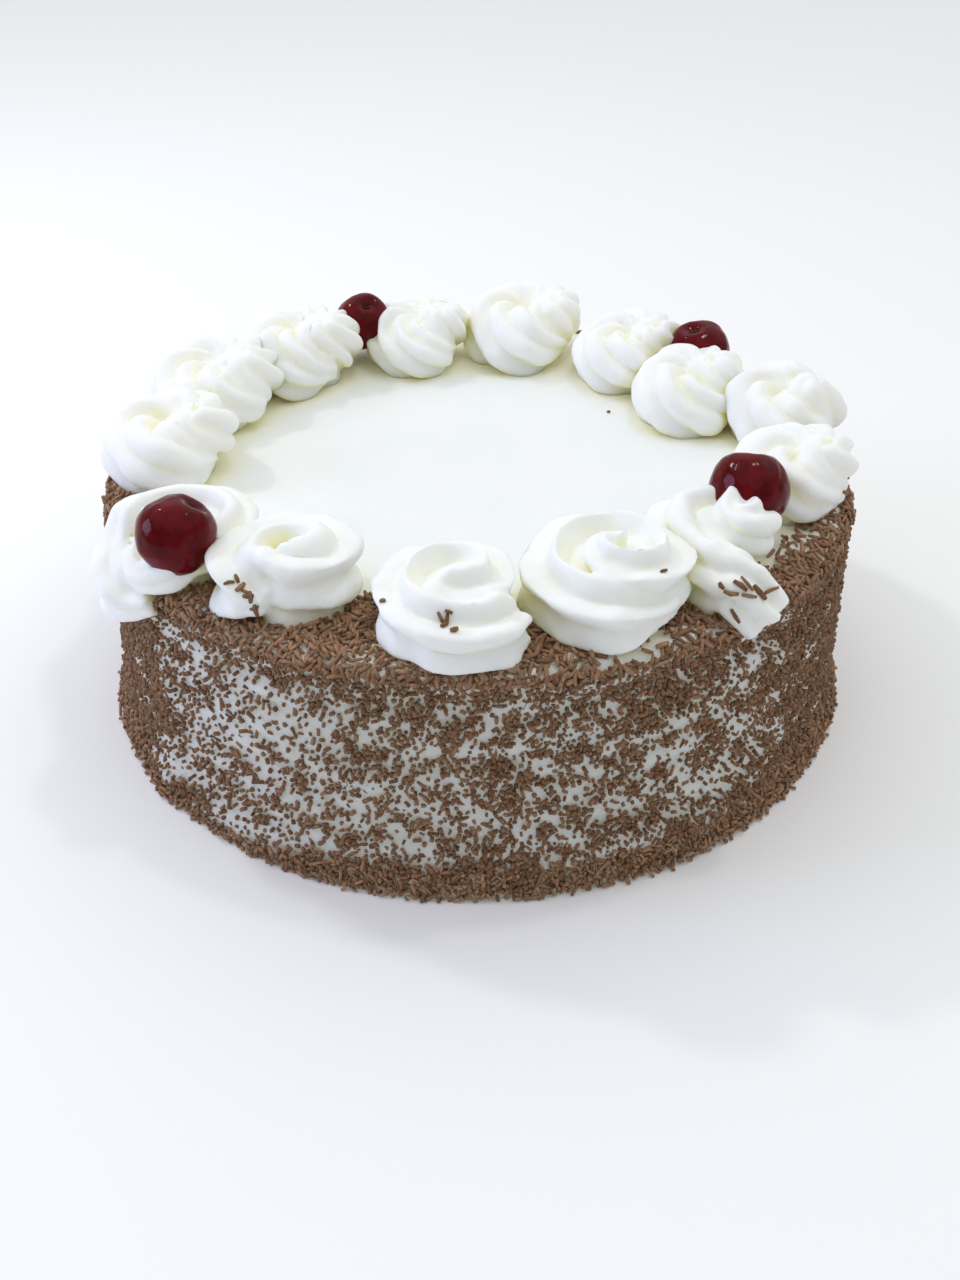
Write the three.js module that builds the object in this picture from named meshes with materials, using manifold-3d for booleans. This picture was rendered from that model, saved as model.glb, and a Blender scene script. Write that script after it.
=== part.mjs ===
// A round black forest cake. The body is coated in cream and has chocolate sprinkles pressed
// into its side and rim. A ring of piped cream rosettes stands on the edge of its flat top,
// and four cherries are pressed in among them.
// Millimetres, +Z up, with the origin in the middle of the underside.
import * as THREE from "three";
import { mergeVertices } from "three/addons/utils/BufferGeometryUtils.js";
import Module from "manifold-3d";

const wasm = await Module();
wasm.setup();

// ---------------------------------------------------------------- driving dimensions

const GAP = 0.3; // clearance between pieces that touch

const CAKE = {
  height: 66,
  rimRadius: 102.3, // where the side meets the rounded shoulder
  sideRadius: 104, // just above the foot
  footRadius: 109.2, // the thick band of sprinkles at the bottom
  footHeight: 10,
  footWidest: 1.5, // height at which it is widest
  footEdge: 0.8, // how far the very bottom edge draws in
  shoulder: 5.5, // radius of the rounded top edge
  shoulderSteps: 4,
  sections: 48,
};

// The coat's spatula marks: waves round the side, and one upright fold at its left front.
// Depths are in millimetres, phases and leans (per millimetre of height) in radians.
const WAVES = [
  { lobes: 2, depth: 0.7, phase: 1.3, lean: 0.004 },
  { lobes: 3, depth: 0.5, phase: 0.4, lean: 0.012 },
  { lobes: 7, depth: 0.35, phase: 2.1, lean: 0.03 },
];
const FOLD = { azimuth: 219, depth: 1.6, spread: 3.2 };

const SPRINKLE = {
  radius: 0.95,
  length: 4.6,
  sides: 5,
  standOff: 0.15, // from the coat to the rod's middle line
  count: 120,
  lowest: 0.04, // where they start and end, as shares of the way from the foot to the top edge
  highest: 0.97,
  seed: 7,
};

// The rope of cream that a star nozzle lays down in a spiral. A rosette may state its own values.
const ROPE = {
  radius: 0.215, // on a ridge, as a share of the rosette's width
  lobes: 4,
  groove: 0.76, // radius in a groove, as a share of that on a ridge
  turns: 1.6,
  stepsPerTurn: 10,
  twist: 0.5, // turns of the ridges about the rope in each turn of the spiral
  restHeight: 0.72, // height of the first loop's middle line, in rope radii
  climb: 1.9, // how late in the spiral the rope rises
  closing: 2, // how late it turns inwards
  open: 0, // share of the first loop's radius that is still left at the tip
  pulling: 3, // how late it is pulled aside
  trail: 0, // how far the start lies outside the loop
  trailing: 0.2, // share of the rope over which a trailing start joins the loop
  bluntStart: 0.5, // radius of the very start, in rope radii
  rounding: 0.1, // share of the rope over which the start fills out
  thinning: 0.2, // share of its radius that the rope loses on the way
  drawnFrom: 0.68, // share of the rope at which its tip begins to be drawn out
  tip: 0.2, // radius of the pulled-off end, in rope radii
};
// The cream that fills the spiral's eye: a blunt cone, in shares of the first loop's radius and
// of the rosette's height. It starts a little way down, where the cake's top then cuts it off.
const CORE = { sides: 6, shoulder: 0.6, shoulderHeight: 0.5, height: 0.62, sunk: 1 };
const DROOP = { from: 96.5, slope: 1.1 }; // cream past this radius hangs over the edge

// Each rosette: its direction and distance from the middle of the cake, its width and height,
// its length away from the middle as a share of the width, where its rope starts, how far its
// tip is pulled and which way it leans. Angles are in degrees, anticlockwise from +X.
const ROSETTES = [
  { azimuth: 347, ring: 89, width: 43, height: 20, stretch: 0.95, start: -45, pull: 6, lean: 10 },
  { azimuth: 12, ring: 93, width: 44, height: 20, stretch: 1, start: -40, pull: 7, lean: 5 },
  { azimuth: 26, ring: 72, width: 43, height: 20, stretch: 1.05, start: -35, pull: 4, lean: 30 },
  { azimuth: 50.5, ring: 77, width: 43, height: 20, stretch: 1, start: -50, pull: 8, lean: 15 },
  { azimuth: 78, ring: 80, width: 48, height: 21, stretch: 1, start: -40, pull: 8, lean: 5 },
  { azimuth: 104, ring: 75, width: 42, height: 20, stretch: 1, start: -30, pull: 7, lean: 15 },
  { azimuth: 132.5, ring: 80, width: 48, height: 20, stretch: 1, start: -45, pull: 6, lean: 10 },
  { azimuth: 156, ring: 83, width: 48, height: 20, stretch: 1.05, start: -35, pull: 6, lean: 20 },
  { azimuth: 182, ring: 84, width: 46, height: 20, stretch: 1.05, start: -30, pull: 6, lean: 10 },
  { azimuth: 216, ring: 91, width: 48, height: 17, stretch: 1.1, start: -110, pull: 5, lean: 270 },
  { azimuth: 239, ring: 83, width: 44, height: 18, stretch: 1.05, start: -112, pull: 8, lean: -10 },
  { azimuth: 267, ring: 82, width: 47, height: 18, stretch: 1.05, start: -30, pull: 2, lean: 200 },
  { azimuth: 294, ring: 80, width: 50, height: 20, stretch: 1.05, start: -35, pull: 3, lean: 40 },
  { azimuth: 318, ring: 81, width: 41, height: 21, stretch: 1.05, start: -72, pull: 6, lean: 40 },
].map((rosette) => ({ ...ROPE, ...rosette }));
// Three at the front are piped in another way: one as an open ring round its cherry, one with a
// short spiral, and one whose rope starts far out on the rim.
Object.assign(ROSETTES[9], { turns: 1.1, open: 0.85, thinning: 0.45 });
Object.assign(ROSETTES[11], { turns: 1.35, open: 0.15 });
Object.assign(ROSETTES[13], { turns: 1.3, trail: 14 });

// Each cherry: the middle of the fruit, its diameter, and the direction that its stalk's
// dimple faces, as an azimuth and an elevation in degrees.
const CHERRIES = [
  { at: [-72, -65, 81], diameter: 20, azimuth: 30, elevation: 50 },
  { at: [68.5, -43, 81], diameter: 21, azimuth: 80, elevation: 60 },
  { at: [69, 54, 76], diameter: 19.5, azimuth: 200, elevation: 70 },
  { at: [-37, 74, 77.5], diameter: 18, azimuth: 300, elevation: 65 },
];
const CHERRY_SKIN = {
  around: 12,
  along: 7,
  dimple: 0.26, // depths as shares of the radius
  dimpleSpread: 0.34, // radians
  crease: 0.05,
  creaseSpread: 0.3,
};

const CREAM_FINISH = { color: 0xf7f5ee, roughness: 0.55, metalness: 0 };
const CHERRY_FINISH = { color: 0x5e0a12, roughness: 0.18, metalness: 0 };

// ---------------------------------------------------------------- small helpers

const { clamp, degToRad, radToDeg, smoothstep } = THREE.MathUtils;

// A repeatable stream of numbers from 0 to 1.
function seededRandom(seed) {
  let state = seed;
  return () => {
    state = (state + 0x6d2b79f5) | 0;
    let mixed = Math.imul(state ^ (state >>> 15), 1 | state);
    mixed = (mixed + Math.imul(mixed ^ (mixed >>> 7), 61 | mixed)) ^ mixed;
    return ((mixed ^ (mixed >>> 14)) >>> 0) / 2 ** 32;
  };
}

// The same geometry with shared corners and without triangles that have no area.
function welded(geometry) {
  geometry.deleteAttribute("normal");
  geometry.deleteAttribute("uv");
  const merged = mergeVertices(geometry);
  const index = merged.index.array;
  const kept = [];
  for (let i = 0; i < index.length; i += 3) {
    const [a, b, c] = index.slice(i, i + 3);
    if (a !== b && b !== c && c !== a) kept.push(a, b, c);
  }
  merged.setIndex(kept);
  return merged;
}

function solidOf(geometry) {
  const merged = welded(geometry);
  return new wasm.Manifold(
    new wasm.Mesh({
      numProp: 3,
      vertProperties: Float32Array.from(merged.attributes.position.array),
      triVerts: Uint32Array.from(merged.index.array),
    }),
  );
}

// The largest connected piece of a solid, without scraps or sealed hollows.
function mainPiece(solid) {
  const pieces = solid.decompose();
  return pieces.reduce((best, piece) => (piece.volume() > best.volume() ? piece : best));
}

function geometryOf(solid) {
  const mesh = solid.getMesh();
  const geometry = new THREE.BufferGeometry();
  geometry.setAttribute("position", new THREE.BufferAttribute(mesh.vertProperties, 3));
  geometry.setIndex(new THREE.BufferAttribute(mesh.triVerts, 1));
  geometry.computeVertexNormals();
  return geometry;
}

// Moves every corner of a geometry to where place(corner) puts it.
function reshaped(geometry, place) {
  const position = geometry.attributes.position;
  const corner = new THREE.Vector3();
  for (let i = 0; i < position.count; i += 1) {
    corner.fromBufferAttribute(position, i);
    place(corner);
    position.setXYZ(i, corner.x, corner.y, corner.z);
  }
  return geometry;
}

// A smooth rise of height 1 that fades out with distance.
function bump(distance, spread) {
  return Math.exp(-((distance / spread) ** 2));
}

// The smaller angle between two directions.
function degreesApart(one, other) {
  const turned = Math.abs(one - other) % 360;
  return Math.min(turned, 360 - turned);
}

// ---------------------------------------------------------------- the cake's body

// How far the coat stands out from a true circle. It fades out over the rounded top edge.
function unevenness(azimuth, z) {
  let relief = FOLD.depth * bump(degreesApart(radToDeg(azimuth), FOLD.azimuth), FOLD.spread);
  for (const wave of WAVES) {
    relief += wave.depth * Math.sin(wave.lobes * azimuth + wave.phase + wave.lean * z);
  }
  return relief * smoothstep(CAKE.height - z, 0, CAKE.shoulder);
}

// The outside of the coat from the bottom edge to the flat top, as radius and height.
function coatProfile() {
  const sideTop = CAKE.height - CAKE.shoulder;
  const profile = new THREE.Path();
  profile.moveTo(CAKE.footRadius - CAKE.footEdge, 0);
  profile.lineTo(CAKE.footRadius, CAKE.footWidest);
  profile.lineTo(CAKE.sideRadius, CAKE.footHeight);
  profile.lineTo((CAKE.sideRadius + CAKE.rimRadius) / 2, sideTop / 2);
  profile.lineTo(CAKE.rimRadius, sideTop);
  profile.absarc(CAKE.rimRadius - CAKE.shoulder, sideTop, CAKE.shoulder, 0, Math.PI / 2);
  return profile;
}

// The bare body, grown all round by an allowance.
function bodySolid(allowance) {
  const outline = coatProfile().getPoints(CAKE.shoulderSteps);
  const grown = outline.map((p) => new THREE.Vector2(p.x + allowance, p.y + allowance));
  const bottom = new THREE.Vector2(0, -allowance);
  const bottomEdge = new THREE.Vector2(grown[0].x, -allowance);
  const top = new THREE.Vector2(0, CAKE.height + allowance);
  const lathe = new THREE.LatheGeometry([bottom, bottomEdge, ...grown, top], CAKE.sections);
  lathe.rotateX(Math.PI / 2);
  reshaped(lathe, (corner) => {
    const radius = Math.hypot(corner.x, corner.y);
    if (radius === 0) return;
    const scale = 1 + unevenness(Math.atan2(corner.y, corner.x), corner.z) / radius;
    corner.x *= scale;
    corner.y *= scale;
  });
  return solidOf(lathe);
}

// ---------------------------------------------------------------- sprinkles

// A short rod with blunt pointed ends, lying along X.
function sprinkleGeometry(allowance) {
  const middle = SPRINKLE.length - 2 * SPRINKLE.radius;
  const rod = new THREE.CapsuleGeometry(SPRINKLE.radius + allowance, middle, 1, SPRINKLE.sides, 1);
  return rod.rotateZ(Math.PI / 2);
}

// The coat's surface at an azimuth and a share of the way from the foot to the top edge.
function coatAt(azimuth, share) {
  const profile = coatProfile();
  const spot = profile.getPointAt(share);
  const slope = profile.getTangentAt(share);
  const outward = new THREE.Vector3(Math.cos(azimuth), Math.sin(azimuth), 0);
  const sideways = new THREE.Vector3(-Math.sin(azimuth), Math.cos(azimuth), 0);
  const upward = outward.clone().multiplyScalar(slope.x).setZ(slope.y).normalize();
  const normal = new THREE.Vector3().crossVectors(sideways, upward);
  const point = outward.multiplyScalar(spot.x + unevenness(azimuth, spot.y)).setZ(spot.y);
  return { point, sideways, upward, normal };
}

// Evenly spread places. Each step turns by shares of the plastic number, which never line up.
function evenPlaces(count) {
  const plastic = 1.32471795724;
  const reach = SPRINKLE.highest - SPRINKLE.lowest;
  return Array.from({ length: count }, (_, i) => ({
    azimuth: 2 * Math.PI * ((i / plastic) % 1),
    share: SPRINKLE.lowest + reach * ((0.5 + i / plastic ** 2) % 1),
  }));
}

function sprinkleAt(place, turn, allowance) {
  const { point, sideways, upward, normal } = coatAt(place.azimuth, place.share);
  const axis = sideways.clone().multiplyScalar(Math.cos(turn));
  axis.addScaledVector(upward, Math.sin(turn));
  const across = new THREE.Vector3().crossVectors(normal, axis);
  const basis = new THREE.Matrix4().makeBasis(axis, across, normal);
  basis.setPosition(point.addScaledVector(normal, SPRINKLE.standOff));
  return solidOf(sprinkleGeometry(allowance).applyMatrix4(basis));
}

// The body with its sprinkles fused on, leaving out those that would touch a rosette.
function sprinkledBody(rosettes) {
  const random = seededRandom(SPRINKLE.seed);
  let body = bodySolid(0);
  for (const place of evenPlaces(SPRINKLE.count)) {
    const turn = Math.PI * random();
    const room = sprinkleAt(place, turn, GAP);
    if (rosettes.some((rosette) => !room.intersect(rosette).isEmpty())) continue;
    body = body.add(sprinkleAt(place, turn, 0));
  }
  return mainPiece(body);
}

// ---------------------------------------------------------------- rosettes

// The star nozzle's opening, one unit in radius.
function starShape() {
  const star = new THREE.Shape();
  star.moveTo(1, 0);
  for (let i = 1; i < 2 * ROPE.lobes; i += 1) {
    const angle = (Math.PI * i) / ROPE.lobes;
    const reach = i % 2 === 0 ? 1 : ROPE.groove;
    star.lineTo(reach * Math.cos(angle), reach * Math.sin(angle));
  }
  star.closePath();
  return star;
}

function levelDirection(degrees) {
  const angle = degToRad(degrees);
  return new THREE.Vector3(Math.cos(angle), Math.sin(angle), 0);
}

function rosetteCentre(rosette) {
  return levelDirection(rosette.azimuth).multiplyScalar(rosette.ring).setZ(CAKE.height);
}

// The radius of the rope's first loop, along its middle line.
function loopRadius(rosette) {
  return rosette.width * (0.5 - rosette.radius);
}

// The direction from the rosette's middle to the rope, which circles clockwise.
function ropeDirection(rosette, share) {
  return levelDirection(rosette.start - 360 * rosette.turns * share);
}

// The middle of the rope at a share of the way from its start to its tip. It closes in and
// climbs, its tip is pulled aside, and it hangs where it passes the cake's edge.
function ropePoint(rosette, share) {
  const done = clamp(share, 0, 1);
  const thickness = rosette.radius * rosette.width;
  const trail = rosette.trail * Math.max(0, 1 - done / rosette.trailing) ** 2;
  const closed = (1 - rosette.open) * done ** rosette.closing;
  const reach = loopRadius(rosette) * (1 - closed) + trail;
  const rest = rosette.restHeight * thickness;
  const climbed = (rosette.height - rest - rosette.tip * thickness) * done ** rosette.climb;
  const point = ropeDirection(rosette, share).multiplyScalar(reach);
  const outward = levelDirection(rosette.azimuth);
  point.addScaledVector(outward, (rosette.stretch - 1) * point.dot(outward));
  point.addScaledVector(levelDirection(rosette.lean), rosette.pull * done ** rosette.pulling);
  point.add(rosetteCentre(rosette));
  const beyond = Math.max(0, Math.hypot(point.x, point.y) - DROOP.from);
  point.z += rest + climbed - DROOP.slope * beyond;
  return point;
}

// The rope's radius: rounded at its start, slowly thinner, and drawn out at its tip.
function ropeRadius(rosette, share) {
  const { bluntStart, rounding, thinning, drawnFrom, tip } = rosette;
  const filled = bluntStart + (1 - bluntStart) * smoothstep(share, 0, rounding);
  const drawn = 1 - (1 - tip) * smoothstep(share, drawnFrom, 1);
  return rosette.radius * rosette.width * filled * (1 - thinning * share) * drawn;
}

// One stretch of the rope: the star extruded straight and then wrapped along the spiral. The
// ridges turn slowly about the rope as it goes round.
function ropeStretch(rosette, from, to) {
  const steps = Math.round((to - from) * rosette.turns * rosette.stepsPerTurn);
  const straight = new THREE.ExtrudeGeometry(starShape(), { depth: 1, steps, bevelEnabled: false });
  const nearby = 0.002; // share of the rope, for its direction at a point
  reshaped(straight, (corner) => {
    const share = from + (to - from) * corner.z;
    const middle = ropePoint(rosette, share);
    const behind = ropePoint(rosette, share - nearby);
    const ahead = ropePoint(rosette, share + nearby).sub(behind).normalize();
    const rise = new THREE.Vector3().crossVectors(ahead, ropeDirection(rosette, share)).normalize();
    const aside = new THREE.Vector3().crossVectors(rise, ahead);
    const spin = 2 * Math.PI * rosette.twist * rosette.turns * share;
    const radius = ropeRadius(rosette, share);
    const across = radius * (corner.x * Math.cos(spin) - corner.y * Math.sin(spin));
    const up = radius * (corner.x * Math.sin(spin) + corner.y * Math.cos(spin));
    corner.copy(middle).addScaledVector(aside, across).addScaledVector(rise, up);
  });
  return solidOf(straight);
}

// The cream that fills the eye of the spiral.
function rosetteCore(rosette) {
  const radius = loopRadius(rosette);
  const points = [
    new THREE.Vector2(0, -CORE.sunk),
    new THREE.Vector2(radius, -CORE.sunk),
    new THREE.Vector2(CORE.shoulder * radius, CORE.shoulderHeight * rosette.height),
    new THREE.Vector2(0, CORE.height * rosette.height),
  ];
  const core = new THREE.LatheGeometry(points, CORE.sides).rotateX(Math.PI / 2);
  return solidOf(core.translate(...rosetteCentre(rosette)));
}

// A block on the far side of the upright plane where two rosettes press together. It is large
// enough to take all of the rosette that would pass the plane.
function beyondContact(rosette, neighbour) {
  const here = rosetteCentre(rosette);
  const towards = rosetteCentre(neighbour).sub(here);
  const distance = towards.length();
  const balance = ((rosette.width / 2) ** 2 - (neighbour.width / 2) ** 2) / distance;
  const contact = (distance + balance) / 2 - GAP / 2;
  const size = 2 * CAKE.height;
  const block = new THREE.BoxGeometry(size, size, size).translate(contact + size / 2, 0, 0);
  block.rotateZ(Math.atan2(towards.y, towards.x));
  return solidOf(block.translate(...here));
}

// A rosette, cut clear of its neighbours and of what it lies on and holds.
function rosetteSolid(rosette, neighbours, hollows) {
  const halfway = 0.5;
  const rope = ropeStretch(rosette, 0, halfway).add(ropeStretch(rosette, halfway, 1));
  const whole = rope.add(rosetteCore(rosette));
  const beyond = neighbours.map((neighbour) => beyondContact(rosette, neighbour));
  return mainPiece([...beyond, ...hollows].reduce((cream, cut) => cream.subtract(cut), whole));
}

// ---------------------------------------------------------------- cherries

// A round fruit with a dimple where its stalk was and a shallow crease down one side.
function cherrySolid(cherry, allowance) {
  const radius = cherry.diameter / 2;
  const fruit = new THREE.SphereGeometry(radius, CHERRY_SKIN.around, CHERRY_SKIN.along);
  fruit.rotateX(Math.PI / 2);
  reshaped(fruit, (corner) => {
    const fromDimple = Math.acos(clamp(corner.z / radius, -1, 1));
    const fromCrease = Math.atan2(corner.y, corner.x);
    const dimple = CHERRY_SKIN.dimple * bump(fromDimple, CHERRY_SKIN.dimpleSpread);
    const crease = CHERRY_SKIN.crease * bump(fromCrease, CHERRY_SKIN.creaseSpread);
    corner.multiplyScalar(1 + allowance / radius - dimple - crease * Math.sin(fromDimple));
  });
  fruit.rotateY(degToRad(90 - cherry.elevation));
  fruit.rotateZ(degToRad(cherry.azimuth));
  return solidOf(fruit.translate(...cherry.at));
}

// ---------------------------------------------------------------- the whole cake

function namedMesh(name, solid, finish) {
  const mesh = new THREE.Mesh(geometryOf(solid), new THREE.MeshStandardMaterial(finish));
  mesh.name = name;
  return mesh;
}

function blackForestCake() {
  const hollows = [bodySolid(GAP), ...CHERRIES.map((cherry) => cherrySolid(cherry, GAP))];
  const rosettes = ROSETTES.map((rosette, i) => {
    const before = ROSETTES.at(i - 1);
    const after = ROSETTES[(i + 1) % ROSETTES.length];
    return rosetteSolid(rosette, [before, after], hollows);
  });
  const cake = new THREE.Group();
  cake.add(namedMesh("cake_body", sprinkledBody(rosettes), CREAM_FINISH));
  rosettes.forEach((solid, i) => {
    cake.add(namedMesh(`rosette_${String(i + 1).padStart(2, "0")}`, solid, CREAM_FINISH));
  });
  CHERRIES.forEach((cherry, i) => {
    cake.add(namedMesh(`cherry_${i + 1}`, cherrySolid(cherry, 0), CHERRY_FINISH));
  });
  return cake;
}

export default blackForestCake();
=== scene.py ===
# The looks of a round black forest cake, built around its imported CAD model.
import math

import bmesh
import bpy
import numpy as np
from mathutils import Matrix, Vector
from mathutils.bvhtree import BVHTree


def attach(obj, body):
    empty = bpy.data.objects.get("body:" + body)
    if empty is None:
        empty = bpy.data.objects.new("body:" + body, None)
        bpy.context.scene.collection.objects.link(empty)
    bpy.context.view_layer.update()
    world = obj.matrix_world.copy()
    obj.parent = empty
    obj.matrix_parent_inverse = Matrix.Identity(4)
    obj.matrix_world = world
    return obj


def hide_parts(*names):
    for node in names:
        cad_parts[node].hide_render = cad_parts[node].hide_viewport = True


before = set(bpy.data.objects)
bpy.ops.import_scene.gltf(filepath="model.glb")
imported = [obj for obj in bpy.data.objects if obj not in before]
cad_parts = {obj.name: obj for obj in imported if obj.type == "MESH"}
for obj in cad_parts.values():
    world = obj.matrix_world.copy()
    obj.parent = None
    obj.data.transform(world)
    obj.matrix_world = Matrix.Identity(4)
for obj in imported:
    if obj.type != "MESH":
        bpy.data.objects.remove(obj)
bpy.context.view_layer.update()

# ---------------------------------------------------------------- driving dimensions, in millimetres

MM = 0.001  # metres

CAKE = {
    "height": 66,
    "rim": 102.3,  # radii of the side below the rounded shoulder, above the foot and at the bottom
    "side": 104,
    "bottom": 106.6,
    "widest": 108.2,  # how far the sprinkles at the foot reach to the sides, the front and the back
    "inner": 70,  # radius where the profile ends on the top
    "shoulder": 4.5,
    "foot_height": 10,
    "foot_widest": 1.5,
}

# The coat's waves: lobes round the cake, depth, phase and lean in radians a millimetre of height.
WAVES = ((2, 0.7, 1.3, 0.004), (3, 0.5, 0.4, 0.012), (7, 0.35, 2.1, 0.03))
FOLD = {"azimuth": 219, "depth": 1.6, "spread": 3.2}

# The piped rope. Shares along it run from 0 at its start to 1 at its tip.
ROPE = {
    "radius": 0.215,  # as a share of the rosette's width
    "turns": 1.6,
    "open": 0,  # share of the loop that is still open at the end
    "closing": 2.4,  # powers: how late the loop closes, the rope climbs and the tip is pulled aside
    "climb": 1.9,
    "pulling": 3,
    "rest": 0.6,  # height of the middle line at the start, in radii of the rope
    "trail": 0,  # how far the start runs out in millimetres, and over what share of the rope
    "trailing": 0.2,
    "blunt": 0.35,  # how thick the start is, as a share, and where the rope is full
    "rounding": 0.12,
    "thinning": 0.2,  # how much thinner the rope gets on its way, as a share
    "drawn": 0.68,  # where the drawing out to the tip starts, and how thick the tip is
    "tip": 0.2,
    "core": 0.62,  # height of the cream in the middle, as a share of the rosette's height
}
# Three looks of the rope's ridges: broad level bands, soft fat folds, and long fingers that run inwards.
# The lobes are the ridges, and the groove is how deep the creases are as a share of the radius. The crest
# is how sharp the ridges are, the spin how far they are turned, in degrees, and the twist how often they
# wind about the rope in each turn. Soft is how many times the skin is relaxed.
BANDED = ROPE | {"lobes": 7, "groove": 0.52, "crest": 0.5, "spin": 26, "twist": 0, "soft": 1}
FOLDED = ROPE | {
    "lobes": 6,
    "groove": 0.41,
    "crest": 0,
    "spin": 0,
    "twist": 1.3,
    "turns": 1.4,
    "radius": 0.25,
    "closing": 1.7,
    "thinning": 0.3,
    "tip": 0.28,
    "core": 0.7,
    "soft": 1,
}
FINGERED = FOLDED | {"twist": 0, "groove": 0.46, "spin": 20, "turns": 1.3, "radius": 0.23}
RIDGE = 0.7  # how round the ridges are: a lower power makes them broader and the creases sharper
# The middle's radii as shares of the loop's, its shoulder's height as a share of the rosette's, how far it
# starts below the top in millimetres, and how much of the rope's pull it follows.
CORE = {"foot": 0.9, "shoulder": 0.6, "tip": 0.05, "shoulder_height": 0.5, "sunk": 1, "shift": 0.6}
MERGING = {"from": 0.8, "tip": 0.6}  # the creases fade towards the tip
DROOP = {"from": 96.5, "slope": 1.1}  # cream past this radius hangs over the edge
ROPE_MESH = {"rings": 160, "sides": 80, "core_sides": 40}
# The skin over rope and core, in millimetres, and how it is smoothed and let into the coat.
SKIN = {
    "voxel": 0.7,
    "relaxing": 0.5,
    "let_in": 0.2,
    "hollow_rounds": 14,
    "hollow_relaxing": 0.6,
    "hollow_depth": 0.9,
}
# Unevenness: each has a wavelength, a seed and a depth, the cherries' in shares of the fruit's radius.
ROSETTE_LUMPS = ((17, 40, 0.45), (7, 60, 0.12))
CHERRY_LUMPS = ((1.7, 90, 0.03), (0.4, 95, 0.005))
# The coat's long streaks are flatter than long by a factor, and all of them fade in above the foot.
COAT_STREAKS = {"long": (26, 3, 0.22), "short": (9, 5, 0.1), "top": (40, 8, 0.12), "flatness": 5, "foot": 3}
# The coat's mesh: its sections round, its rows up to a length of the profile, and its rings on the top.
COAT_MESH = {"sections": 400, "side_end": 59, "side": 54, "rim_end": 70, "rim": 14, "ledge": 14, "top": 16}


def rosette(look, azimuth, ring, width, height, stretch, start, pull, lean, **changes):
    """One rosette: its place on the rim, its size, where its rope starts and how its tip is pulled."""
    own = {
        "azimuth": azimuth,
        "ring": ring,
        "width": width,
        "height": height,
        "stretch": stretch,
        "start": start,
        "pull": pull,
        "lean": lean,
    }
    return look | own | changes


ROSETTES = (
    rosette(FOLDED, 347, 89, 43, 20, 0.95, -45, 6, 10, twist=0.9),
    rosette(FOLDED, 12, 93, 44, 20, 1.00, -40, 7, 5, lobes=5),
    rosette(FOLDED, 26, 72, 43, 20, 1.05, -35, 4, 30, lobes=5),
    rosette(FOLDED, 50.5, 77, 43, 20, 1.00, -50, 8, 15, twist=1.1),
    rosette(FOLDED, 78, 80, 48, 21, 1.00, -40, 8, 5),
    rosette(FOLDED, 104, 75, 42, 20, 1.00, -30, 7, 15, lobes=7),
    rosette(FOLDED, 132.5, 80, 48, 20, 1.00, -45, 6, 10, lobes=7),
    rosette(FOLDED, 156, 83, 48, 20, 1.05, -35, 6, 20),
    rosette(FOLDED, 182, 84, 46, 20, 1.05, -30, 6, 10, twist=0.8),
    rosette(
        BANDED, 216, 91, 48, 17, 1.10, -110, 5, 270, turns=1.3, radius=0.2, open=0.7, closing=1.2,
        thinning=0.5, lobes=5, crest=0.2, groove=0.45,
    ),
    rosette(
        BANDED, 239, 83, 49, 18, 0.94, -118, 4, 190, turns=1.15, radius=0.22, closing=1.7, climb=1.4,
        tip=0.55, drawn=0.85, core=0.75, lobes=5, spin=36,
    ),
    rosette(
        BANDED, 267, 82, 47, 18, 1.05, -30, 3, 200, turns=1.35, open=0.1, closing=1.5, climb=1.4,
        tip=0.55, drawn=0.88, core=0.65, blunt=0.7, rounding=0.05, lobes=6,
    ),
    rosette(BANDED, 294, 80, 50, 20, 1.05, -35, 3, 40, crest=0.6, lobes=6, core=0.75),
    rosette(
        FINGERED, 318, 81, 41, 21, 1.05, -72, 6, 40, trail=14, radius=0.25, groove=0.42, drawn=0.7,
        tip=0.4, blunt=0.8,
    ),
)

# Each cherry's middle and diameter, and its hollows: azimuth, elevation, depth and spread in radians.
# The first hollow is the stalk's.
CHERRIES = (
    ((-72, -65, 81), 19.3, ((30, 50, 0.3, 0.36), (-51, 3, 0.1, 0.45), (150, 60, 0.05, 0.4))),
    ((68.5, -43, 80.5), 20.6, ((80, 60, 0.28, 0.3), (-20, 40, 0.05, 0.4))),
    ((69, 54, 76), 19.5, ((200, 70, 0.28, 0.3),)),
    ((-37, 74, 77.5), 18, ((300, 65, 0.28, 0.3),)),
)

# Painted shade: the cherry's skin is darkened to near black in the stalk's hollow.
STALK_SHADE = 0.7  # how wide the stalk's hollow is tinted, as a share of its spread

# How much of the side the sprinkles cover, by azimuth.
COVER = (
    (0, 0.85), (30, 0.75), (80, 0.85), (120, 0.7), (165, 0.85), (205, 0.9), (217, 0.9), (221, 0.45),
    (235, 0.38), (248, 0.46), (257, 0.62), (272, 0.68), (300, 0.68), (314, 0.76), (322, 0.92), (360, 0.85),
)
# Barer patches of the side, and fuller ones with a minus: azimuth, height, half width in degrees,
# half height in millimetres, and how much cover is gone.
PATCHES = (
    (217, 13, 4, 8, 0.8), (229, 40, 2.5, 9, 0.3), (238, 33, 3, 5, 0.4), (238, 54, 2, 3, 0.4),
    (244, 46, 2, 3, 0.4), (250, 43, 2, 6, 0.4), (249, 25, 2.5, 4, 0.5), (261, 15, 4, 3, 0.4),
    (265, 44, 1.5, 3, 0.5), (306, 21, 6, 6, 0.8), (308, 35, 1.5, 4, 0.5), (309, 50, 3, 6, 0.3),
    (320, 48, 3, 4, 0.4), (329, 12, 3, 3, 0.4), (283, 52, 12, 9, -0.25), (300, 54, 8, 6, -0.2),
    (213, 42, 5, 16, -0.3), (60, 25, 7, 8, 0.5), (128, 40, 6, 9, 0.5), (95, 14, 8, 5, 0.4),
    (172, 30, 6, 7, 0.4), (12, 38, 5, 6, 0.4),
)
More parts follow.
